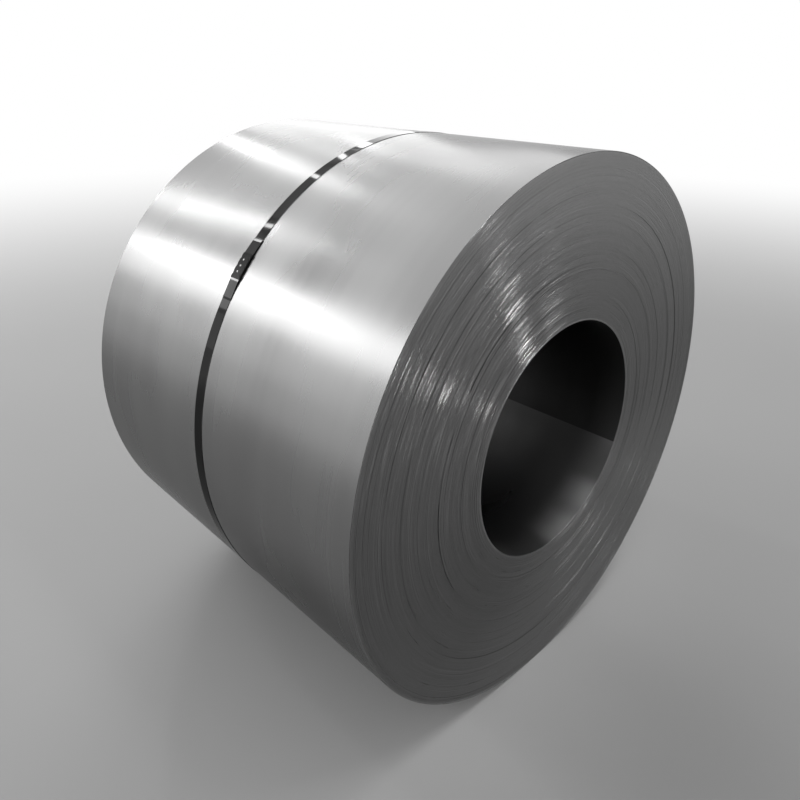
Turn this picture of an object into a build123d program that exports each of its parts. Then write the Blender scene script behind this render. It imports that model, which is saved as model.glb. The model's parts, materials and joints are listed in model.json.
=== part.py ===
"""A coil of cold-rolled steel strip, lying on its round side and held by one strap with a crimped seal.

Frame: millimetres, +Z up. The axis of the eye runs along Y, and the origin is on the floor under the
middle of the coil. Angles are in degrees, counter-clockwise from +X as seen from the -Y end.
"""
import os
from math import acos, cos, degrees, radians, sin

from build123d import *

# Strip and winding
strip_width = 1067.0
strip_thickness = 2.0
bore_diameter = 610.0
# Turns in each band of the winding, from the eye outwards. The bands stand a little in or out at the ends.
band_turns = (6, 9, 14, 5, 29, 7, 16, 29, 12, 8, 17, 10, 15, 12, 6)
band_weave = 2.0
band_weave_shares = (0.1, -0.35, 0.3, -0.6, 0.35, -0.25, 1.0, 0.2, -0.5, 0.6, -1.0, 0.2, -0.3, 0.4, 0.0)

# Ends of the strip: the tail on the outside, the head in the eye
tail_angle = 310.0
head_angle = 338.0
head_climb_length = 70.0

# Strap
strap_width = 32.0
strap_thickness = 0.9
strap_clearance = 0.1
lap_start_angle = 135.3
lap_end_angle = 144.6
lap_ramp_length = 30.0

# Seal
seal_length = 64.0
seal_gauge = 1.2
seal_clearance = 0.1
seal_end_gap = 7.0
seal_flange_gap = 6.0
seal_notch_radius = 4.0
seal_notch_pitch = 20.0
seal_notch_count = 3
seal_dimple_diameter = 6.0
seal_dimple_depth = 0.5
seal_dimple_pitch = 15.0
seal_dimple_count = 3
seal_dimple_offset = 3.0

# Derived sizes
cut_overrun = strip_thickness
bore_radius = bore_diameter / 2
outer_radius = bore_radius + strip_thickness * sum(band_turns)
through_width = strip_width + 2 * (band_weave + cut_overrun)
axis_height = outer_radius + strap_clearance + strap_thickness
seal_end_angle = lap_end_angle - degrees(seal_end_gap / outer_radius)
seal_start_angle = seal_end_angle - degrees(seal_length / outer_radius)
# The seal's flanges are folded under the strap, which stands off the coil by their thickness there
seal_lift = seal_gauge + 2 * seal_clearance - strap_clearance
# The middle of the coil's section, on which all outlines below are drawn
section = Plane((0, 0, axis_height), x_dir=(1, 0, 0), z_dir=(0, -1, 0))


def polar(radius, angle, centre=(0, 0)):
    """The point of the section at that radius and angle."""
    return (centre[0] + radius * cos(radians(angle)), centre[1] + radius * sin(radians(angle)))


def arc_angle(length, radius):
    """The angle that an arc of that length takes up."""
    return degrees(length / radius)


def sector(inner_radius, outer_radius, start_angle, end_angle):
    """Closed outline of a piece of a ring."""
    size = end_angle - start_angle
    return Wire([
        CenterArc((0, 0), outer_radius, start_angle, size),
        Line(polar(outer_radius, end_angle), polar(inner_radius, end_angle)),
        CenterArc((0, 0), inner_radius, start_angle, size),
        Line(polar(inner_radius, start_angle), polar(outer_radius, start_angle)),
    ])


def climb_angle(offset):
    """The angle in which a taut strap climbs from the coil to the seal's flanges, in a straight line."""
    base = outer_radius + offset
    return degrees(acos(base / (base + seal_lift)))


def taut_radius(offset, angle):
    """Radius of the strap's path, grown by offset, on and beside the seal."""
    base = outer_radius + offset
    climb = climb_angle(offset)
    before = max(seal_start_angle - angle, 0)
    after = max(angle - seal_end_angle, 0)
    away = min(max(before, after), climb)
    return base / cos(radians(climb - away))


def strip_outline():
    """Outline of the outermost turn: two half circles, as one turn of a spiral, and the tail's step."""
    small = outer_radius - strip_thickness / 2
    centre = polar(strip_thickness / 2, tail_angle + 180)
    return Wire([
        CenterArc((0, 0), outer_radius, tail_angle - 180, 180),
        Line(polar(outer_radius, tail_angle), polar(small, tail_angle, centre)),
        CenterArc(centre, small, tail_angle, 180),
    ])


def taut_outline(offset):
    """Outline of a taut strap round the outermost turn, grown by offset.

    It leaves the edge of the tail in a straight line that meets the turn below at a tangent, and it leaves
    the coil at a tangent to climb over the seal's flanges.
    """
    large = outer_radius + offset
    small = large - strip_thickness / 2
    top = large + seal_lift
    centre = polar(strip_thickness / 2, tail_angle + 180)
    leave = degrees(acos(small / (large + strip_thickness / 2)))
    climb_start = seal_start_angle - climb_angle(offset)
    climb_end = seal_end_angle + climb_angle(offset)
    return Wire([
        CenterArc((0, 0), large, tail_angle - 180, climb_start - tail_angle + 180),
        Line(polar(large, climb_start), polar(top, seal_start_angle)),
        CenterArc((0, 0), top, seal_start_angle, seal_end_angle - seal_start_angle),
        Line(polar(top, seal_end_angle), polar(large, climb_end)),
        CenterArc((0, 0), large, climb_end, tail_angle - climb_end),
        Line(polar(large, tail_angle), polar(small, tail_angle + leave, centre)),
        CenterArc(centre, small, tail_angle + leave, 180 - leave),
    ])


def across(outline, width, middle=0.0):
    """The outline in the section made a solid of that width along the eye's axis."""
    return Pos(0, middle, 0) * extrude(section * Face(outline), amount=width / 2, both=True)


def winding():
    """All bands but the outermost, turned as one solid, and the radius outside them.

    Each band is as wide as the strip and is shifted along the eye by its weave.
    """
    near, far, radius = [], [], bore_radius
    for turns, share in zip(band_turns[:-1], band_weave_shares[:-1]):
        shift = band_weave * share
        outside = radius + turns * strip_thickness
        near += [(radius, shift - strip_width / 2), (outside, shift - strip_width / 2)]
        far += [(radius, shift + strip_width / 2), (outside, shift + strip_width / 2)]
        radius = outside
    half_section = Polyline(*near, *reversed(far), close=True)
    return Pos(0, 0, axis_height) * revolve(make_face(half_section), axis=Axis.Y), radius


def head_climb():
    """The gap in the eye where the second turn climbs over the head of the strip."""
    start = head_angle - arc_angle(head_climb_length, bore_radius)
    top = bore_radius + strip_thickness
    inside = bore_radius - cut_overrun
    return Wire([
        Line(polar(bore_radius, start), polar(top, head_angle)),
        Line(polar(top, head_angle), polar(inside, head_angle)),
        Line(polar(inside, head_angle), polar(inside, start)),
        Line(polar(inside, start), polar(bore_radius, start)),
    ])


def coil():
    """The wound strip: one turned solid with its bore, the tail's step outside and the head's in the eye."""
    inner_bands, inner_radius = winding()
    outer_band = across(strip_outline(), strip_width, band_weave * band_weave_shares[-1])
    outer_band -= across(Wire(CenterArc((0, 0), inner_radius, 0, 360)), through_width)
    body = inner_bands + outer_band
    return body - across(head_climb(), through_width)


def strap():
    """One taut band round the middle of the coil, with its end lapped over itself under the seal."""
    inside = strap_clearance
    middle = inside + strap_thickness / 2
    outside = inside + strap_thickness
    lap_outside = outside + strap_thickness
    ramp_end = lap_end_angle + arc_angle(lap_ramp_length, outer_radius)
    cut_width = strap_width + cut_overrun
    band = across(taut_outline(outside), strap_width) - across(taut_outline(inside), cut_width)
    lap = across(taut_outline(lap_outside), strap_width) - across(taut_outline(middle), cut_width)
    lap &= across(sector(bore_radius, 2 * outer_radius, lap_start_angle, lap_end_angle), cut_width)
    ramp = Polyline(
        polar(taut_radius(lap_outside, lap_end_angle), lap_end_angle),
        polar(taut_radius(outside, ramp_end), ramp_end),
        polar(taut_radius(middle, ramp_end), ramp_end),
        polar(taut_radius(middle, lap_end_angle), lap_end_angle),
        close=True,
    )
    return band + lap + across(Wire(ramp), strap_width)


def seal():
    """A sleeve folded round the lapped ends, with notches along both edges and a row of dimples on top."""
    inside_width = strap_width + 2 * seal_clearance
    outside_width = inside_width + 2 * seal_gauge
    bottom = outer_radius + seal_clearance
    floor = bottom + seal_gauge
    roof = floor + seal_clearance + 2 * strap_thickness + seal_clearance
    top = roof + seal_gauge
    middle = (seal_start_angle + seal_end_angle) / 2
    overrun = arc_angle(cut_overrun, top)
    open_start = seal_start_angle - overrun
    open_end = seal_end_angle + overrun
    notch_middle = outside_width / 2 + seal_notch_radius - seal_gauge
    body = across(sector(bottom, top, seal_start_angle, seal_end_angle), outside_width)
    body -= across(sector(floor, roof, open_start, open_end), inside_width)
    body -= across(sector(bottom - cut_overrun, roof, open_start, open_end), seal_flange_gap)
    body -= [
        radial_cutter(seal_notch_radius, bottom - cut_overrun, top + cut_overrun,
                      middle + step * arc_angle(seal_notch_pitch, top), side * notch_middle)
        for step in centred_steps(seal_notch_count) for side in (-1, 1)
    ]
    body -= [
        radial_cutter(seal_dimple_diameter / 2, top - seal_dimple_depth, top + cut_overrun,
                      middle + step * arc_angle(seal_dimple_pitch, top), seal_dimple_offset)
        for step in centred_steps(seal_dimple_count)
    ]
    return body


def centred_steps(count):
    """Steps of 1 that lie evenly about 0."""
    return [index - (count - 1) / 2 for index in range(count)]


def radial_cutter(radius, low, high, angle, along):
    """A round cutter that points out of the coil at that angle, from one radius to another."""
    height = high - low
    place = Pos(0, along, axis_height) * Rot(0, 90 - angle, 0) * Pos(0, 0, low + height / 2)
    return place * Cylinder(radius, height)


os.makedirs("parts", exist_ok=True)
for name, piece in (("coil", coil()), ("strap", strap()), ("strap_seal", seal())):
    export_step(piece, f"parts/{name}.step")
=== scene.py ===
"""Looks of a coil of cold-rolled steel strip with one black strap, laid out as a Blender add-on.

Every piece is a numpy surface in metres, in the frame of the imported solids: the axis of the eye runs along Y
at AXIS_HEIGHT, the floor is z = 0, and angles run counter-clockwise from +X as seen from the -Y end.
"""
import json

import bpy
import numpy as np
from bpy.props import FloatProperty, FloatVectorProperty, IntProperty, PointerProperty
from mathutils import Euler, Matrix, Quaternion, Vector


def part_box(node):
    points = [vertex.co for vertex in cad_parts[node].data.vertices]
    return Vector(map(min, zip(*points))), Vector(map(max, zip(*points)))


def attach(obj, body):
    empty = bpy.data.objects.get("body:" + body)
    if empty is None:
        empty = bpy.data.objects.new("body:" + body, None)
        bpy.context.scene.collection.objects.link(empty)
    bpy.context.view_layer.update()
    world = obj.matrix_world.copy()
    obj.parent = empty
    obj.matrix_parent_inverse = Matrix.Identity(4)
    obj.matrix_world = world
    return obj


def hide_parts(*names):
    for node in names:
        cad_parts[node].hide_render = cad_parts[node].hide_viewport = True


bl_info = {
    "name": "Steel Coil",
    "version": (1, 0, 0),
    "blender": (4, 5, 0),
    "location": "View3D > Sidebar > Steel Coil",
    "description": "Builds a coil of steel strip with its strap and seal",
    "category": "Add Mesh",
}

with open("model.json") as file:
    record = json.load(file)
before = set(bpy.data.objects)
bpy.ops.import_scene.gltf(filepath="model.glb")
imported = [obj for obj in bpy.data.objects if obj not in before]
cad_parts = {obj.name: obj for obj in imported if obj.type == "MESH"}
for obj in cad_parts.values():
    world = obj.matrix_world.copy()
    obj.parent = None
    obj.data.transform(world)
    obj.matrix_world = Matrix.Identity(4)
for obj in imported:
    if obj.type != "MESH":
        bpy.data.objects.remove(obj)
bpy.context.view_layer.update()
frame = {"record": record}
EYE = next(mount for mount in frame["record"]["mounts"] if mount["name"] == "eye")
AXIS_HEIGHT = EYE["pos_m"][2]
EYE_RADIUS = EYE["dims"]["r_mm"] / 1000
STRIP_WIDTH = EYE["dims"]["length_mm"] / 1000
OUTER_RADIUS = -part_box("coil")[0].x
STRAP_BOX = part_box("strap")
TURN = 2 * np.pi

# Turns in each band of the winding from the eye outwards, and each band's share of the weave
BAND_TURNS = (6, 9, 14, 5, 29, 7, 16, 29, 12, 8, 17, 10, 15, 12, 6)
BAND_WEAVE_SHARES = (0.1, -0.35, 0.3, -0.6, 0.35, -0.25, 1.0, 0.2, -0.5, 0.6, -1.0, 0.2, -0.3, 0.4, 0.0)
# Half the length in turns of the step from one band to the next
BAND_STEP = 0.1

# Stray of single turns: points of it in a turn, spare turns past the tail, shares of the plain stray and of
# the odd jump, and how often a jump comes. It fades out over FADE_TURNS, before the last TRUE_TURNS.
STRAY_POINTS = 3
SPARE_TURNS = 3
PLAIN_STRAY = 0.25
JUMP_STRAY = 2.2
JUMP_CHANCE = 0.06
TRUE_TURNS = 1.5
FADE_TURNS = 3
# Tone that rubbing adds to the turns next to the eye and to the rim, fading over about a turn
RUBBED_TONE = 2.5

# Waves of the outer turn: share of the height, waves round the coil, slant in radians a metre, and phase
RIPPLE_WAVES = ((1.0, 7, 3, 0), (0.7, 13, -6, 1), (0.4, 23, 9, 0))

# Points of the grids: along a turn and in even rows across it, along the strap and round each corner, and
# along the seal and across its top
SKIN_GRID = (721, 56)
EYE_GRID = (361, 40)
STRAP_STEPS = 2161
CORNER_STEPS = 4
SEAL_STEPS = 129
SEAL_TOP_STEPS = 25
# From the strip's rim to the first row of the even grid across it
RIM_LENGTH = 0.01

# Share of the strap's half width at which its worn edge begins
WORN_EDGE_SHARE = 0.97
# Seal: share of its half width at which a crimp begins, share of its gauge by which a crimp lowers the top,
# steepness of a dimple's bowl, and how bare a dimple is and how steeply that fades
CRIMP_START_SHARE = 0.6
CRIMP_FALL_SHARE = 0.4
DIMPLE_STEEPNESS = 1.3
BARE_SHARE = 0.5
BARE_STEEPNESS = 1.4

# Floor disc: radius in metres, rings and spokes, and the distances between which it fades to white
FLOOR_RADIUS = 60
FLOOR_RINGS = 12
FLOOR_SPOKES = 64
WHITE_FROM = 2.5
WHITE_AT = 9.5
# Width of the camera's sensor in millimetres
SENSOR_WIDTH = 36

# Shader constants of all the steel: metal, darkened near grazing angles
METAL = {"Metallic": 1.0, "Specular Tint": (0.57, 0.57, 0.57, 1.0)}
# Rays that see the white of the stage
SEEN_RAYS = ("Is Camera Ray", "Is Glossy Ray", "Is Transmission Ray")
# Softboxes: name, place from the middle of the coil and size in outer radii, turn and spread in degrees, and
# radiance. The turn is clockwise as seen from the coil. Those at y = 14 stand behind the coil and show as
# bands on its skin and glints on its strap. The others stand before the near end and streak its turns.
LAMPS = (
    ("left_band", (-10.7, 14, 8.0), (12.0, 4.4), 29, 180, 3.1),
    ("left_core", (-8.4, 14, 7.3), (5.0, 0.45), 29, 180, 18.0),
    ("left_skirt", (-11.2, 14, 3.0), (9.0, 3.5), 15, 180, 0.5),
    ("middle_core", (-3.15, 14, 9.0), (0.4, 5.2), -13, 180, 23.0),
    ("right_core", (4.35, 14, 9.5), (0.4, 5.8), -21, 180, 23.0),
    ("far_core", (7.4, 14, 10.6), (0.35, 1.5), -30, 180, 20.0),
    ("window_core", (10.2, 14, 9.0), (0.35, 1.5), -40, 180, 20.0),
    ("window", (10.5, 14, 5.6), (6.4, 6.4), 0, 180, 2.7),
    ("back_glow", (1.5, 14, 8.3), (14.0, 4.2), 0, 180, 0.8),
    ("upper_glow", (5.0, 14, 15.5), (18.0, 7.0), 0, 180, 0.6),
    ("corner_glow", (16.0, 14, 12.5), (11.0, 6.0), 30, 180, 2.2),
    ("face_lamp", (-0.3, -1.4, 2.2), (0.45, 0.8), 0, 60, 3.8),
    ("side_lamp", (1.0, -1.2, 2.2), (0.8, 0.6), 0, 60, 2.2),
    ("left_lamp", (-4.2, -2.8, 2.7), (0.5, 0.9), 0, 40, 1.2),
    ("front_box", (-2.4, -6.2, 1.1), (1.2, 1.2), 0, 180, 6.0),
)


def length_property(name, description, metres):
    """A length that a user would change."""
    return FloatProperty(name=name, description=description, default=metres, unit="LENGTH", precision=5)


def angle_property(name, description, degrees):
    """A place round the coil that a user would change."""
    return FloatProperty(name=name, description=description, default=np.radians(degrees), unit="ROTATION")


def colour_property(name, description, grey):
    """A neutral colour that a user would change."""
    return FloatVectorProperty(
        name=name, description=description, default=(grey, grey, grey), size=3, min=0, max=1,
        subtype="COLOR")


class CoilSizes(bpy.types.PropertyGroup):
    """Sizes of the wound strip."""

    strip_thickness: length_property("Strip thickness", "Thickness of one turn", 0.002)
    head_angle: angle_property("Head angle", "Where the strip starts in the eye", 338)
    tail_angle: angle_property("Tail angle", "Where the strip ends outside", 310)
    weave: length_property("Weave", "How far the bands of turns stand in or out", 0.0006)
    stray: length_property("Stray", "How far single turns stray from their band", 0.0002)
    groove: length_property("Groove", "Depth of the gap between two turns", 0.0003)
    edge: length_property("Edge", "Rounding of the strip's corners", 0.00018)
    ripple: length_property("Ripple", "Height of the waves in the outer turn", 0.0001)
    steps: IntProperty(name="Steps", description="Points round one turn of an end", default=160, min=24)
    seed: IntProperty(name="Seed", description="Seed of the stray turns", default=7)


class StrapSizes(bpy.types.PropertyGroup):
    """Sizes of the strap and its seal."""

    width: length_property("Strap width", "Width of the strap", STRAP_BOX[1].y - STRAP_BOX[0].y)
    thickness: length_property("Strap thickness", "Thickness of the strap", 0.0009)
    clearance: length_property("Clearance", "Gap under the strap and in the seal", 0.0001)
    lap_start: angle_property("Lap start", "Free end of the strap", 135.3)
    lap_end: angle_property("Lap end", "End of the strap below the lap", 144.6)
    lap_ramp: length_property("Lap ramp", "Length in which the lap comes down", 0.03)
    tip_length: length_property("Tip length", "Length of the thinned free end", 0.008)
    tip_share: FloatProperty(
        name="Tip share", description="Share of the thickness left at the free end", default=0.23,
        subtype="FACTOR")
    seal_length: length_property("Seal length", "Length of the seal along the strap", 0.064)
    seal_gauge: length_property("Seal gauge", "Thickness of the seal's steel", 0.0012)
    seal_end_gap: length_property("Seal end gap", "From the seal to the end of the strap below", 0.007)
    flange_gap: length_property("Flange gap", "Gap between the folded flanges", 0.006)
    crimp_pitch: length_property("Crimp pitch", "From crimp to crimp", 0.02)
    crimp_depth: length_property("Crimp depth", "How far a crimp pinches each edge", 0.0012)
    crimp_reach: length_property("Crimp reach", "How far along the edge a crimp reaches", 0.0028)
    dimple_pitch: length_property("Dimple pitch", "From dimple to dimple", 0.015)
    dimple_offset: length_property("Dimple offset", "From the middle of the strap to the dimples", 0.003)
    dimple_radius: length_property("Dimple radius", "Radius of a dimple", 0.003)
    dimple_depth: length_property("Dimple depth", "Depth of a dimple", 0.0005)


class CoilColours(bpy.types.PropertyGroup):
    """Colours of the finishes."""

    skin: colour_property("Skin", "Bright rolled face of the strip", 0.28)
    edge: colour_property("Edge", "Slit edges of the turns", 0.25)
    # Gap: a dark colour painted into the gaps between the turns as painted shade
    gap: colour_property("Gap", "Depth of the gaps between the turns", 0.08)
    eye: colour_property("Eye", "Oiled inner turn", 0.24)
    strap: colour_property("Strap", "Blued strap", 0.032)
    seal: colour_property("Seal", "Black seal", 0.018)
    worn: colour_property("Worn", "Bare steel where the black is worn off", 0.5)
    floor: colour_property("Floor", "Floor of the stage", 0.45)


class StageSettings(bpy.types.PropertyGroup):
    """Camera and light of the stage."""

    camera_place: FloatVectorProperty(
        name="Camera place", description="Place of the camera from the middle of the coil, in outer radii",
        default=(-2.01045, -1.92040, 1.27331), size=3)
    camera_turn: FloatVectorProperty(
        name="Camera turn", description="Yaw to the right of +Y and pitch downwards",
        default=(0.73532, 0.37061), size=2, unit="ROTATION")
    focal_pixels: FloatProperty(name="Focal length", description="In pixels of the frame", default=710.805)
    frame_pixels: FloatProperty(name="Frame", description="Side of the square frame in pixels", default=800)
    centre_pixels: FloatVectorProperty(
        name="Optical centre", description="Pixel that the optical axis meets",
        default=(357.275, 330.335), size=2)
    world: FloatProperty(
        name="World", description="Light from all round on dull surfaces", default=0.55, min=0)


class Value:
    """What a shader socket gives. Arithmetic on it adds Math nodes."""

    def __init__(self, nodes, socket):
        self.nodes = nodes
        self.socket = socket

    def math(self, operation, *others):
        """A Math node on this value and the others."""
        return self.nodes.node("ShaderNodeMath", {"operation": operation}, dict(enumerate((self, *others))))

    def __add__(self, other):
        return self.math("ADD", other)

    def __mul__(self, other):
        return self.math("MULTIPLY", other)

    def __sub__(self, other):
        return self.math("SUBTRACT", other)

    def __rsub__(self, other):
        return self.nodes.node("ShaderNodeMath", {"operation": "SUBTRACT"}, {0: other, 1: self})

    def __abs__(self):
        return self.math("ABSOLUTE")

    __radd__ = __add__
    __rmul__ = __mul__

    def between(self, low, high):
        """0 below low, 1 above high, and a smooth step between."""
        return self.nodes.node(
            "ShaderNodeMapRange", {"interpolation_type": "SMOOTHSTEP"},
            {"Value": self, "From Min": low, "From Max": high})

    def swing(self, amount):
        """Noise from 0 to 1 made to swing about 0, by that amount from end to end."""
        return (self - 0.5) * amount

    def output(self, name):
        """Another output of the same node."""
        return Value(self.nodes, self.socket.node.outputs[name])


class Nodes:
    """A node tree, with one method that adds any node."""

    def __init__(self, tree):
        self.tree = tree

    def node(self, kind, settings=None, inputs=None, output=0):
        """Adds a node of that type with its settings and the values or links of its sockets."""
        made = self.tree.nodes.new(kind)
        for name, value in (settings or {}).items():
            setattr(made, name, value)
        for name, value in (inputs or {}).items():
            self.feed(made.inputs[name], value)
        return Value(self, made.outputs[output])

    def feed(self, socket, value):
        """Links a Value to a socket, or sets a plain value on it."""
        if isinstance(value, Value):
            self.tree.links.new(value.socket, socket)
        else:
            socket.default_value = value

    def seen(self):
        """1 for rays from the camera, off gloss and through glass, and 0 for the light on dull surfaces."""
        path = self.node("ShaderNodeLightPath")
        camera, glossy, transmission = (path.output(ray) for ray in SEEN_RAYS)
        return camera.math("MAXIMUM", glossy).math("MAXIMUM", transmission)


class Finish(Nodes):
    """A material with one shader, and constants set on the shader's own sockets."""

    def __init__(self, name, constants):
        self.material = bpy.data.materials.new(name)
        self.material.use_nodes = True
        super().__init__(self.material.node_tree)
        self.shader = self.tree.nodes["Principled BSDF"]
        for socket, value in constants.items():
            self.shader.inputs[socket].default_value = value

    def set(self, **values):
        """Feeds the shader's sockets, each named in small letters with an underscore."""
        for name, value in values.items():
            self.feed(self.shader.inputs[name.replace("_", " ").title()], value)

    def strip_place(self):
        """Metres along and across the strip, from the piece's own map."""
        return self.node("ShaderNodeUVMap", {"uv_map": "strip"})

    def split(self, place):
        """The two numbers of a place."""
        first = self.node("ShaderNodeSeparateXYZ", None, {0: place})
        return first, first.output("Y")

    def attribute(self, name):
        """A value of the piece's own points."""
        return self.node("ShaderNodeAttribute", {"attribute_name": name}, output="Fac")

    def noise(self, place, scale, detail, offset=0.0):
        """Noise from 0 to 1 with about as many patches a metre along and across as the scale says."""
        moved = self.node("ShaderNodeMapping", None, {
            "Vector": place, "Location": (offset, offset, 0), "Scale": (*scale, 1)})
        return self.node(
            "ShaderNodeTexNoise", {"noise_dimensions": "2D"},
            {"Vector": moved, "Scale": 1.0, "Detail": detail, "Roughness": 0.55})

    def tint(self, colour, strength):
        """A colour times a number."""
        return self.node(
            "ShaderNodeVectorMath", {"operation": "SCALE"}, {0: tuple(colour), "Scale": strength})

    def blend(self, share, first, second):
        """The first colour where share is 0, and the second where it is 1."""
        return self.node(
            "ShaderNodeMix", {"data_type": "RGBA"}, {0: share, 6: first, 7: second}, output=2)

    def bump(self, height, distance):
        """Raises the surface by the height, from 0 to 1, times a distance in metres."""
        self.set(normal=self.node("ShaderNodeBump", None, {"Height": height, "Distance": distance}))


def rolled_skin(colour):
    """Bright rolled face: cloudy gloss, faint streaks along the strip and a slight unevenness."""
    finish = Finish("rolled_skin", METAL)
    place = finish.strip_place()
    clouds = finish.noise(place, (2.6, 3.4), 1.0)
    smears = finish.noise(place, (0.9, 7.0), 1.0, offset=3.1)
    streaks = finish.noise(place, (0.7, 45.0), 1.0, offset=7.7)
    dull = clouds.between(0.45, 0.75)
    finish.set(
        base_color=finish.tint(colour, 1.0 + clouds.swing(0.2) + smears.swing(0.14) + streaks.swing(0.05)),
        roughness=0.265 + dull * 0.05 + smears.swing(0.05) + streaks.swing(0.03),
    )
    finish.bump(finish.noise(place, (3.0, 2.2), 0.0, offset=11.0), 0.0009)
    return finish.material


def slit_edges(colours, sizes):
    """Edges of the turns: dull slit faces, and painted shade in the gaps and on the walls, save for short
    burrs painted bright as painted highlights.
    """
    finish = Finish("slit_edges", METAL)
    tone = finish.attribute("tone")
    place = finish.strip_place()
    across = finish.split(place)[1]
    scuffs = finish.noise(place, (9.0, 300.0), 3.0)
    burrs = finish.noise(place, (8.0, 1.0), 1.0, offset=1.7).between(0.55, 0.68)
    near = 0.8 * sizes.edge
    past = 1.2 * sizes.edge
    inward = 1.0 - across.between(near, past)
    outward = across.between(sizes.strip_thickness - past, sizes.strip_thickness - near)
    flat = finish.tint(colours.edge, 0.94 + tone * 0.12 + scuffs.swing(0.15))
    # Painted shade and highlight: outer walls at a tenth of the skin's colour so they reflect little, save for
    # burrs painted up to 1.6 times it, and inner walls at 0.4 of it
    wall_shade_and_burrs = finish.tint(colours.skin, outward * (0.1 + burrs * 1.5) + inward * 0.4)
    turns = finish.blend(inward + outward, flat, wall_shade_and_burrs)
    # Painted shade: the feet of the gaps between turns take the dark gap colour
    deep = finish.attribute("gap").between(0.7, 1.0)
    finish.set(
        base_color=finish.blend(deep, turns, (*colours.gap, 1.0)),
        roughness=0.28 + tone * 0.08 + scuffs.swing(0.08) - outward * 0.14,
    )
    return finish.material


def eye_steel(colour):
    """Inner turn: dark for a fifth of a turn from its head and lighter along the turn, with its rims rubbed
    and painted brighter, partly a painted highlight.
    """
    finish = Finish("eye_steel", METAL)
    place = finish.strip_place()
    along, across = finish.split(place)
    # Darkest for a fifth of a turn from the head, then lighter further along the turn
    lighter_along_turn = along.between(0.2 * TURN * EYE_RADIUS, TURN * EYE_RADIUS)
    rim = abs(across).between(0.4 * STRIP_WIDTH, 0.5 * STRIP_WIDTH)
    bands = finish.noise(place, (1.2, 4.0), 2.0)
    # Rims: rubbed steel and partly a painted highlight, brighter where this noise is high
    rubs_and_sheen = finish.noise(place, (5.0, 1.5), 1.0, offset=2.3).between(0.4, 0.62)
    finish.set(
        base_color=finish.tint(colour, 0.35 + lighter_along_turn * (0.45 + rim * rubs_and_sheen * 1.2) + bands.swing(0.3)),
        roughness=0.24 + bands * 0.1 + rim * 0.12,
    )
    finish.bump(finish.noise(place, (0.8, 700.0), 1.0, offset=5.0), 0.0002)
    return finish.material


def blued_strap(colour, worn):
    """Blued strap: dark and glossy, scuffed along its length, and duller and worn at its edges."""
    finish = Finish("blued_strap", METAL)
    place = finish.strip_place()
    scuffs = finish.noise(place, (6.0, 900.0), 3.0)
    patches = finish.noise(place, (14.0, 30.0), 3.0, offset=4.0)
    edge = finish.attribute("worn")
    rub = edge * patches.between(0.35, 0.7)
    finish.set(
        base_color=finish.blend(rub * 0.15, finish.tint(colour, 0.85 + patches * 0.3), (*worn, 1.0)),
        roughness=0.05 + edge * 0.4 + scuffs.between(0.5, 0.8) * 0.03 + patches * 0.01,
    )
    finish.bump(finish.noise(place, (5.0, 8.0), 1.0, offset=8.0), 0.00001)
    return finish.material


def black_seal(colour, worn):
    """Black seal, a little patchy, with bare, bright dimples."""
    finish = Finish("black_seal", METAL)
    patches = finish.noise(finish.strip_place(), (60.0, 60.0), 3.0)
    bare = finish.attribute("worn")
    finish.set(
        base_color=finish.blend(bare, finish.tint(colour, 0.6 + patches * 0.8), (*worn, 1.0)),
        roughness=0.22 + patches * 0.2 - bare * 0.1,
    )
    finish.bump(patches, 0.0002)
    return finish.material


def pale_floor(colour):
    """Pale studio floor with a faint mottle. Far off it fades to white wherever it is seen."""
    finish = Finish("pale_floor", {"Roughness": 0.75, "Specular IOR Level": 0.2})
    place = finish.node("ShaderNodeTexCoord", output="Object")
    mottle = finish.noise(place, (1.3, 1.3), 4.0)
    finish.set(base_color=finish.tint(colour, 0.985 + mottle * 0.03))
    distance = finish.node("ShaderNodeVectorMath", {"operation": "LENGTH"}, {0: place}, output="Value")
    white = finish.node("ShaderNodeEmission", None, {"Strength": 1.0})
    surface = Value(finish, finish.shader.outputs[0])
    fade = finish.seen() * distance.between(WHITE_FROM, WHITE_AT)
    mixed = finish.node("ShaderNodeMixShader", None, {0: fade, 1: surface, 2: white})
    finish.feed(finish.tree.nodes["Material Output"].inputs["Surface"], mixed)
    return finish.material


def grid_faces(rows, columns, closed=False):
    """Quads of a grid of points numbered row by row. A closed grid joins its last column to the first."""
    row, column = np.mgrid[0:rows - 1, 0:columns if closed else columns - 1]
    first = row * columns
    second = first + columns
    after = (column + 1) % columns
    return np.stack((first + column, first + after, second + after, second + column), -1).reshape(-1, 4)


def tube_faces(rows, columns):
    """Faces of a closed profile carried along a path: the quads of its grid, and one face at each end."""
    faces = list(map(tuple, grid_faces(rows, columns, closed=True)))
    first = tuple(range(columns))
    last = tuple(range((rows - 1) * columns, rows * columns))
    return [*faces, first[::-1], last]


def tube_ends(rows, columns):
    """A test for the edges round the first and the last row of such a grid."""
    def test(ends):
        row = ends // columns
        return (row[:, 0] == row[:, 1]) & ((row[:, 0] == 0) | (row[:, 0] == rows - 1))
    return test


def column_edges(columns):
    """A test for the edges of a grid that run along its columns."""
    def test(ends):
        return ends[:, 0] % columns == ends[:, 1] % columns
    return test


def on_coil(radius, angle, along):
    """Points at that radius and angle round the eye's axis, and that place along it."""
    return np.stack(np.broadcast_arrays(
        radius * np.cos(angle), along, AXIS_HEIGHT + radius * np.sin(angle)), -1)


def strip_map(along, across):
    """Metres along and across the strip for each point of a grid."""
    return np.stack(np.broadcast_arrays(along, across), -1)


def smooth_step(share):
    """Goes from 0 to 1 with the share, level at both ends."""
    return share * share * (3 - 2 * share)


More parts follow.
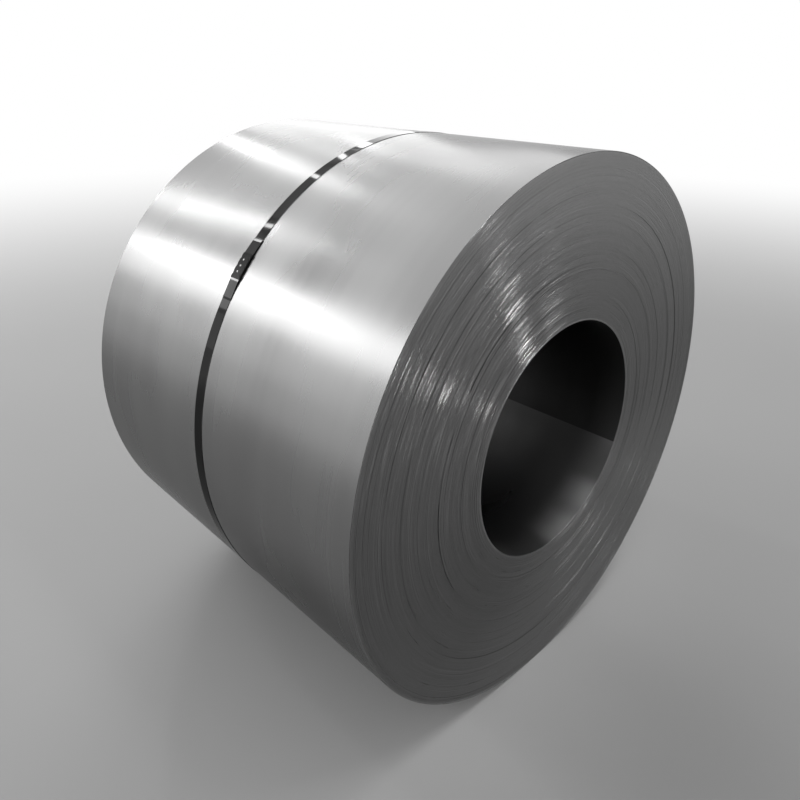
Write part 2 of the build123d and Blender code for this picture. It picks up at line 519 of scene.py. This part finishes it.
def make_piece(name, points, faces, strip, material, node, attributes=None, sharp=None):
    """Puts arrays of points, faces, strip map and point values into a mesh that stands for a CAD node."""
    mesh = bpy.data.meshes.new(name)
    mesh.from_pydata(points.reshape(-1, 3), [], faces)
    mesh.polygons.foreach_set("use_smooth", np.ones(len(mesh.polygons), bool))
    corner = np.empty(len(mesh.loops), np.int32)
    mesh.loops.foreach_get("vertex_index", corner)
    places = strip.reshape(-1, 2)[corner].astype(np.float32)
    mesh.uv_layers.new(name="strip").uv.foreach_set("vector", places.ravel())
    for label, values in (attributes or {}).items():
        made = mesh.attributes.new(label, "FLOAT", "POINT")
        made.data.foreach_set("value", np.ascontiguousarray(values, np.float32).ravel())
    if sharp is not None:
        ends = np.empty(2 * len(mesh.edges), np.int32)
        mesh.edges.foreach_get("vertices", ends)
        made = mesh.attributes.new("sharp_edge", "BOOLEAN", "EDGE")
        made.data.foreach_set("value", sharp(ends.reshape(-1, 2)))
    mesh.materials.append(material)
    mesh.update()
    piece = bpy.data.objects.new(name, mesh)
    bpy.context.scene.collection.objects.link(piece)
    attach(piece, "root")
    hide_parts(node)


class Winding:
    """The strip as a spiral: wound counts turns from the head, each about one thickness further out."""

    def __init__(self, sizes):
        self.sizes = sizes
        thickness = sizes.strip_thickness
        part_turn = (sizes.tail_angle - sizes.head_angle) / TURN % 1
        # The strip ends at the tail's angle, with its inner face one thickness inside the outer radius
        self.turns = round((OUTER_RADIUS - EYE_RADIUS) / thickness) - 2 + part_turn
        self.pitch = (OUTER_RADIUS - EYE_RADIUS - thickness) / self.turns
        random = np.random.default_rng(sizes.seed)
        count = STRAY_POINTS * int(self.turns + SPARE_TURNS)
        jumps = (random.random(count) < JUMP_CHANCE) * random.choice((-1, 1), count)
        self.stray = PLAIN_STRAY * random.normal(0, 1, count) + JUMP_STRAY * jumps
        self.tone = random.random(count)

    def angle(self, wound):
        """Angle round the eye's axis."""
        return self.sizes.head_angle + TURN * wound

    def inside(self, wound):
        """Radius of the strip's inner face."""
        return EYE_RADIUS + self.pitch * wound

    def wander(self, table, wound):
        """A table of a few values a turn, joined smoothly along the strip."""
        place = np.clip(wound, 0, self.turns) * STRAY_POINTS
        low = np.floor(place).astype(int)
        share = smooth_step(place - low)
        return table[low] * (1 - share) + table[low + 1] * share

    def shift(self, wound):
        """How far along the eye's axis the strip lies: its band's weave and its own stray."""
        ends = np.cumsum(BAND_TURNS)[:-1]
        place = np.sort(np.concatenate((ends - BAND_STEP, ends + BAND_STEP)))
        weave = np.interp(wound, place, np.repeat(BAND_WEAVE_SHARES, 2)[1:-1])
        fade = np.clip((self.turns - TRUE_TURNS - wound) / FADE_TURNS, 0, 1)
        return self.sizes.weave * weave + self.sizes.stray * self.wander(self.stray, wound) * fade


def turn_profile(sizes, rows):
    """Profile across one turn, seen from its open face: places along the axis and depths below that face.

    It comes up out of the gap, goes round the rim's corner, over the face in even rows, and down again.
    """
    half = STRIP_WIDTH / 2
    thickness, edge = sizes.strip_thickness, sizes.edge
    # How far in the middle of the round corner lies, and a point on the flat that keeps its shading even
    corner_middle = 0.3 * edge
    flat = half - 4 * edge
    rim = np.array((half - sizes.groove, half, half, half - corner_middle, half - edge, flat))
    depth = np.array((thickness, thickness - edge, edge, corner_middle, 0, 0))
    body = np.linspace(half - RIM_LENGTH, RIM_LENGTH - half, rows)
    along = np.concatenate((rim, body, -rim[::-1]))
    return along, np.concatenate((depth, np.zeros(rows), depth[::-1]))


def ripple(sizes, angle, along):
    """Slow waves in the outer turn: sines round the coil, half as high in the middle as at the rims."""
    rise = (1 + (2 * along / STRIP_WIDTH) ** 2) / 2
    waves = sum(
        share * np.sin(count * angle + slant * along + phase) for share, count, slant, phase in RIPPLE_WAVES)
    return sizes.ripple * rise * waves


def make_turn(name, points, faces, strip, cut, hidden, material):
    """One turn of the strip: the grid of its open face, and its cut end.

    The cut end is a grid of two rows, the row of the open face at the cut and its points on the hidden face.
    """
    rows, columns = points.shape[:2]
    end_faces = rows * columns + grid_faces(2, columns)
    make_piece(
        name, np.concatenate((*points, points[cut], hidden)), np.concatenate((faces, end_faces)),
        np.concatenate((*strip, strip[cut], strip[cut])), material, "coil")


class StripOperator(bpy.types.Operator):
    """Shared settings of the operators that build the coil's pieces."""

    bl_options = {"REGISTER", "UNDO"}


class OBJECT_OT_coil_skin(StripOperator):
    """Build the outer turn of the strip, with its tail"""

    bl_idname = "object.coil_skin"
    bl_label = "Outer Turn"

    def execute(self, context):
        """A grid: the profile across the strip, carried one turn along the spiral to the tail."""
        sizes = context.scene.coil_sizes
        winding = Winding(sizes)
        steps, rows = SKIN_GRID
        along, depth = turn_profile(sizes, rows)
        wound = np.linspace(winding.turns - 1, winding.turns, steps)[:, None]
        angle = winding.angle(wound)
        inside = winding.inside(wound)
        face = inside + sizes.strip_thickness + ripple(sizes, angle, along)
        place = along + winding.shift(wound)
        points = on_coil(face - depth, angle, place)
        hidden = on_coil(inside[-1], angle[-1], place[-1])
        strip = strip_map((wound - wound[0]) * TURN * OUTER_RADIUS, along)
        material = rolled_skin(context.scene.coil_colours.skin)
        make_turn("coil_skin", points, grid_faces(steps, len(along)), strip, -1, hidden, material)
        return {"FINISHED"}


class OBJECT_OT_coil_eye(StripOperator):
    """Build the inner turn of the strip, with its head"""

    bl_idname = "object.coil_eye"
    bl_label = "Eye"

    def execute(self, context):
        """A grid: the profile across the strip, carried one turn along the spiral from the head."""
        sizes = context.scene.coil_sizes
        winding = Winding(sizes)
        steps, rows = EYE_GRID
        along, depth = turn_profile(sizes, rows)
        wound = np.linspace(0, 1, steps)[:, None]
        angle = winding.angle(wound)
        inside = winding.inside(wound)
        place = along + winding.shift(wound)
        points = on_coil(inside + depth, angle, place)
        hidden = on_coil(inside[0] + sizes.strip_thickness, angle[0], place[0])
        strip = strip_map(wound * TURN * EYE_RADIUS, along)
        material = eye_steel(context.scene.coil_colours.eye)
        make_turn("coil_eye", points, grid_faces(steps, len(along))[:, ::-1], strip, 0, hidden, material)
        return {"FINISHED"}


class OBJECT_OT_coil_ends(StripOperator):
    """Build the turns that show on both ends"""

    bl_idname = "object.coil_ends"
    bl_label = "Ends"

    def execute(self, context):
        """One grid for each end, with one finish for both."""
        sizes = context.scene.coil_sizes
        winding = Winding(sizes)
        material = slit_edges(context.scene.coil_colours, sizes)
        for name, side in (("coil_near_end", -1), ("coil_far_end", 1)):
            self.end(name, side, winding, material)
        return {"FINISHED"}

    def end(self, name, side, winding, material):
        """A grid: the spiral from the second turn to the last but one, by a profile of four points.

        They are the foot of the gap to the turn inside, both corners of the strip's edge, and the foot of
        the gap to the turn outside. A gap is as deep as the lower of its two turns, and a groove more.
        """
        sizes = winding.sizes
        count = int((winding.turns - 2) * sizes.steps) + 2
        wound = 1 + np.arange(count) / sizes.steps
        own = side * winding.shift(wound)
        inside = side * winding.shift(wound - 1)
        outside = side * winding.shift(np.minimum(wound + 1, winding.turns))
        inner_foot = np.minimum(own, inside) - sizes.groove
        outer_foot = np.minimum(own, outside) - sizes.groove
        rise = np.stack((inner_foot, own, own, outer_foot), -1)
        across = np.array((0, sizes.edge, sizes.strip_thickness - sizes.edge, winding.pitch))
        radius = winding.inside(wound)[:, None] + across
        points = on_coil(radius, winding.angle(wound)[:, None], side * (STRIP_WIDTH / 2 + rise))
        length = np.cumsum(winding.inside(wound)) * TURN / sizes.steps
        rubbed = RUBBED_TONE * np.exp(1 - wound) + RUBBED_TONE * np.exp(wound - wound[-1])
        tone = winding.wander(winding.tone, wound) + rubbed
        attributes = {
            "tone": np.broadcast_to(tone[:, None], rise.shape),
            "gap": np.broadcast_to((1.0, 0.0, 0.0, 1.0), rise.shape),
        }
        faces = grid_faces(*rise.shape)[:, ::-side]
        strip = strip_map(length[:, None], across)
        make_piece(
            name, points, faces, strip, material, "coil", attributes,
            column_edges(len(across)))


class StrapPath:
    """Path of the strap's inner face: taut round the outer turn, and over the seal's flanges."""

    def __init__(self, sizes, winding):
        self.sizes = sizes
        self.winding = winding
        self.base = OUTER_RADIUS + sizes.clearance
        self.lift = sizes.seal_gauge + sizes.clearance
        self.seal_end = sizes.lap_end - sizes.seal_end_gap / OUTER_RADIUS
        self.seal_start = self.seal_end - sizes.seal_length / OUTER_RADIUS

    def radius(self, angle):
        """The largest of three curves: the outer turn, the straight line off its tail, and the seal's hill.

        The hill climbs to the seal in a straight line, and comes down from the end of the strap below.
        """
        thickness = self.winding.sizes.strip_thickness
        off_tail = (angle - self.winding.sizes.tail_angle) % TURN
        outer_turn = self.base - thickness * (1 - off_tail / TURN)
        leave = np.arccos((self.base - thickness) / self.base)
        line = np.where(off_tail < leave, (self.base - thickness) / np.cos(leave - off_tail), 0)
        climb = np.arccos(self.base / (self.base + self.lift))
        on_seal = (angle - self.seal_start + np.pi) % TURN - np.pi
        beside = np.maximum(-on_seal, on_seal - (self.sizes.lap_end - self.seal_start))
        away = np.clip(beside, 0, climb)
        hill = np.where(beside < climb, self.base / np.cos(climb - away), 0)
        return np.maximum(np.maximum(outer_turn, line), hill)


class OBJECT_OT_coil_strap(StripOperator):
    """Build the strap round the middle of the coil"""

    bl_idname = "object.coil_strap"
    bl_label = "Strap"

    def execute(self, context):
        """One band from its thinned free end, over the lap, down a ramp and round to its lower end."""
        sizes = context.scene.strap_sizes
        path = StrapPath(sizes, Winding(context.scene.coil_sizes))
        angle = np.linspace(sizes.lap_start, sizes.lap_end + TURN, STRAP_STEPS)
        ramp = np.clip((angle - sizes.lap_end) / (sizes.lap_ramp / OUTER_RADIUS), 0, 1)
        radius = path.radius(angle) + sizes.thickness * (1 - smooth_step(ramp))
        tip = np.clip((angle - sizes.lap_start) * OUTER_RADIUS / sizes.tip_length, 0, 1)
        fullness = sizes.tip_share + (1 - sizes.tip_share) * tip
        across, height = self.profile(sizes.width, sizes.thickness)
        points = on_coil(radius[:, None] + height * fullness[:, None], angle[:, None], across)
        grid = points.shape[:2]
        strip = strip_map((angle * OUTER_RADIUS)[:, None], across)
        worn = np.broadcast_to(np.abs(across) > WORN_EDGE_SHARE * sizes.width / 2, grid)
        colours = context.scene.coil_colours
        material = blued_strap(colours.strap, colours.worn)
        make_piece(
            "strap_band", points, tube_faces(*grid), strip, material, "strap", {"worn": worn},
            tube_ends(*grid))
        return {"FINISHED"}

    def profile(self, width, thickness):
        """Closed profile of a flat band with round corners: places across and heights above its underside.

        One more point on the flat beside each corner keeps the flat's shading even.
        """
        corner = 0.3 * thickness
        flat = width / 2 - 3 * corner
        turn = np.linspace(0, np.pi / 2, CORNER_STEPS)
        side = np.concatenate(((flat,), width / 2 - corner + corner * np.sin(turn)))
        fall = np.concatenate(((0.0,), corner * (1 - np.cos(turn))))
        right = np.concatenate((side, side[::-1]))
        height = np.concatenate((thickness - fall, fall[::-1]))
        return np.concatenate((right, -right[::-1])), np.concatenate((height, height[::-1]))


class OBJECT_OT_coil_seal(StripOperator):
    """Build the crimped seal over the lapped strap"""

    bl_idname = "object.coil_seal"
    bl_label = "Seal"

    def execute(self, context):
        """A closed C profile carried along the strap, pinched at its crimps and pressed at its dimples.

        A crimp is a bell curve along the strap that grows towards both edges. A dimple is a bowl with a flat
        floor.
        """
        sizes = context.scene.strap_sizes
        path = StrapPath(sizes, Winding(context.scene.coil_sizes))
        across, height = self.profile(sizes)
        angle = np.linspace(path.seal_start, path.seal_end, SEAL_STEPS)
        run = (angle - (path.seal_start + path.seal_end) / 2)[:, None] * OUTER_RADIUS
        steps = np.arange(-1, 2)
        crimps = np.exp(-((run - steps * sizes.crimp_pitch) / sizes.crimp_reach) ** 2).sum(1, keepdims=True)
        inside = sizes.width / 2 + sizes.clearance
        start = CRIMP_START_SHARE * inside
        pinch = crimps * np.clip((np.abs(across) - start) / (inside - start), 0, 1)
        along = across - np.sign(across) * pinch * sizes.crimp_depth
        off_dimples = (run - steps * sizes.dimple_pitch)[:, None, :]
        reach = np.hypot(off_dimples, along[..., None] - sizes.dimple_offset)
        press = np.clip(DIMPLE_STEEPNESS * (1 - (reach / sizes.dimple_radius) ** 2), 0, 1).max(2)
        on_top = height == height.max()
        fall = press * sizes.dimple_depth + pinch * CRIMP_FALL_SHARE * sizes.seal_gauge
        radius = OUTER_RADIUS + sizes.clearance + height - np.where(on_top, fall, 0)
        points = on_coil(radius, angle[:, None], along)
        grid = points.shape[:2]
        worn = np.where(on_top, BARE_SHARE * np.clip(press * BARE_STEEPNESS, 0, 1), 0.0)
        strip = strip_map(run, along)
        colours = context.scene.coil_colours
        material = black_seal(colours.seal, colours.worn)
        make_piece(
            "seal_sleeve", points, tube_faces(*grid), strip, material, "strap_seal",
            {"worn": worn}, tube_ends(*grid))
        return {"FINISHED"}

    def profile(self, sizes):
        """Closed profile of the sleeve: places across the strap and heights above its underside.

        It goes from the left lip round the outside to the right lip and back inside. The top has many
        points, for the crimps and the dimples.
        """
        gauge, gap = sizes.seal_gauge, sizes.clearance
        inside = sizes.width / 2 + gap
        outside = inside + gauge
        roof = gauge + 2 * sizes.thickness + 2 * gap
        top = roof + gauge
        lip = sizes.flange_gap / 2
        low_corner = 0.3 * gauge
        top_corner = 0.5 * gauge
        up = np.array((
            (-lip, 0), (-outside + low_corner, 0), (-outside, low_corner), (-outside, top - top_corner)))
        crown = np.linspace(-outside + top_corner, outside - top_corner, SEAL_TOP_STEPS)
        over = np.stack((crown, np.full(SEAL_TOP_STEPS, top)), -1)
        inner = np.array(((lip, gauge), (inside, gauge), (inside, roof)))
        mirror = np.array((-1, 1))
        return np.concatenate((up, over, up[::-1] * mirror, inner, inner[::-1] * mirror)).T


def from_middle(place):
    """The point at that place from the middle of the coil, in outer radii."""
    return Vector((0, 0, AXIS_HEIGHT)) + Vector(place) * OUTER_RADIUS


def softbox(name, place, size, turn, spread, radiance):
    """A rectangular lamp that faces the middle of the coil, with a power of radiance times pi times area."""
    lamp = bpy.data.lights.new(name, "AREA")
    lamp.shape = "RECTANGLE"
    lamp.size = size[0] * OUTER_RADIUS
    lamp.size_y = size[1] * OUTER_RADIUS
    lamp.energy = radiance * np.pi * lamp.size * lamp.size_y
    lamp.spread = np.radians(spread)
    made = bpy.data.objects.new(name, lamp)
    made.location = from_middle(place)
    facing = Vector(place).to_track_quat("Z", "Y")
    made.rotation_euler = (facing @ Quaternion((0, 0, 1), np.radians(turn))).to_euler()
    bpy.context.scene.collection.objects.link(made)


class OBJECT_OT_coil_stage(bpy.types.Operator):
    """Build the floor, the lights and the camera"""

    bl_idname = "object.coil_stage"
    bl_label = "Stage"

    def execute(self, context):
        """The camera, the floor, the world and the softboxes, in that order."""
        scene = context.scene
        scene.view_settings.view_transform = "Standard"
        self.camera(scene, scene.coil_stage)
        self.floor(scene)
        self.world(scene, scene.coil_stage)
        for lamp in LAMPS:
            softbox(*lamp)
        return {"FINISHED"}

    def camera(self, scene, settings):
        """A level camera turned and tipped towards the coil, shifted to its optical centre."""
        data = bpy.data.cameras.new("camera")
        made = bpy.data.objects.new("camera", data)
        made.location = from_middle(settings.camera_place)
        yaw, pitch = settings.camera_turn
        made.rotation_euler = Euler((np.pi / 2 - pitch, 0, -yaw))
        side = settings.frame_pixels
        data.sensor_width = SENSOR_WIDTH
        data.lens = SENSOR_WIDTH * settings.focal_pixels / side
        data.shift_x = 0.5 - settings.centre_pixels[0] / side
        data.shift_y = settings.centre_pixels[1] / side - 0.5
        scene.collection.objects.link(made)
        scene.camera = made

    def floor(self, scene):
        """A flat disc: rings that widen outwards, each a full turn."""
        rings = np.linspace(0, 1, FLOOR_RINGS) ** 2 * FLOOR_RADIUS
        spokes = np.linspace(0, TURN, FLOOR_SPOKES, endpoint=False)
        radius, angle = np.meshgrid(rings, spokes, indexing="ij")
        points = np.stack((radius * np.cos(angle), radius * np.sin(angle), 0 * radius), -1)
        faces = grid_faces(FLOOR_RINGS, FLOOR_SPOKES, closed=True)[:, ::-1]
        mesh = bpy.data.meshes.new("floor")
        mesh.from_pydata(points.reshape(-1, 3), [], faces)
        mesh.materials.append(pale_floor(scene.coil_colours.floor))
        made = bpy.data.objects.new("floor", mesh)
        scene.collection.objects.link(made)

    def world(self, scene, settings):
        """White wherever it is seen, and dimmer as light on dull surfaces."""
        world = bpy.data.worlds.new("studio")
        world.use_nodes = True
        nodes = Nodes(world.node_tree)
        background = world.node_tree.nodes["Background"]
        nodes.feed(background.inputs["Color"], (1, 1, 1, 1))
        strength = nodes.node("ShaderNodeMapRange", None, {"Value": nodes.seen(), "To Min": settings.world})
        nodes.feed(background.inputs["Strength"], strength)
        scene.world = world


class VIEW3D_PT_coil(bpy.types.Panel):
    """Lists the sizes, colours, stage settings and operators of the coil"""

    bl_label = "Steel Coil"
    bl_idname = "VIEW3D_PT_coil"
    bl_space_type = "VIEW_3D"
    bl_region_type = "UI"
    bl_category = "Steel Coil"

    def draw(self, context):
        for name, group in GROUPS.items():
            box = self.layout.box()
            for field in group.__annotations__:
                box.prop(getattr(context.scene, name), field)
        for operator in OPERATORS:
            self.layout.operator(operator.bl_idname)


OPERATORS = (
    OBJECT_OT_coil_skin, OBJECT_OT_coil_eye, OBJECT_OT_coil_ends, OBJECT_OT_coil_strap, OBJECT_OT_coil_seal,
    OBJECT_OT_coil_stage,
)
GROUPS = {
    "coil_sizes": CoilSizes,
    "strap_sizes": StrapSizes,
    "coil_colours": CoilColours,
    "coil_stage": StageSettings,
}


def register():
    for name, group in GROUPS.items():
        bpy.utils.register_class(group)
        setattr(bpy.types.Scene, name, PointerProperty(type=group))
    for shown in (*OPERATORS, VIEW3D_PT_coil):
        bpy.utils.register_class(shown)


def unregister():
    for shown in (VIEW3D_PT_coil, *reversed(OPERATORS)):
        bpy.utils.unregister_class(shown)
    for name, group in reversed(GROUPS.items()):
        delattr(bpy.types.Scene, name)
        bpy.utils.unregister_class(group)


def main():
    register()
    bpy.ops.object.coil_skin()
    bpy.ops.object.coil_eye()
    bpy.ops.object.coil_ends()
    bpy.ops.object.coil_strap()
    bpy.ops.object.coil_seal()
    bpy.ops.object.coil_stage()


if __name__ == "__main__":
    main()
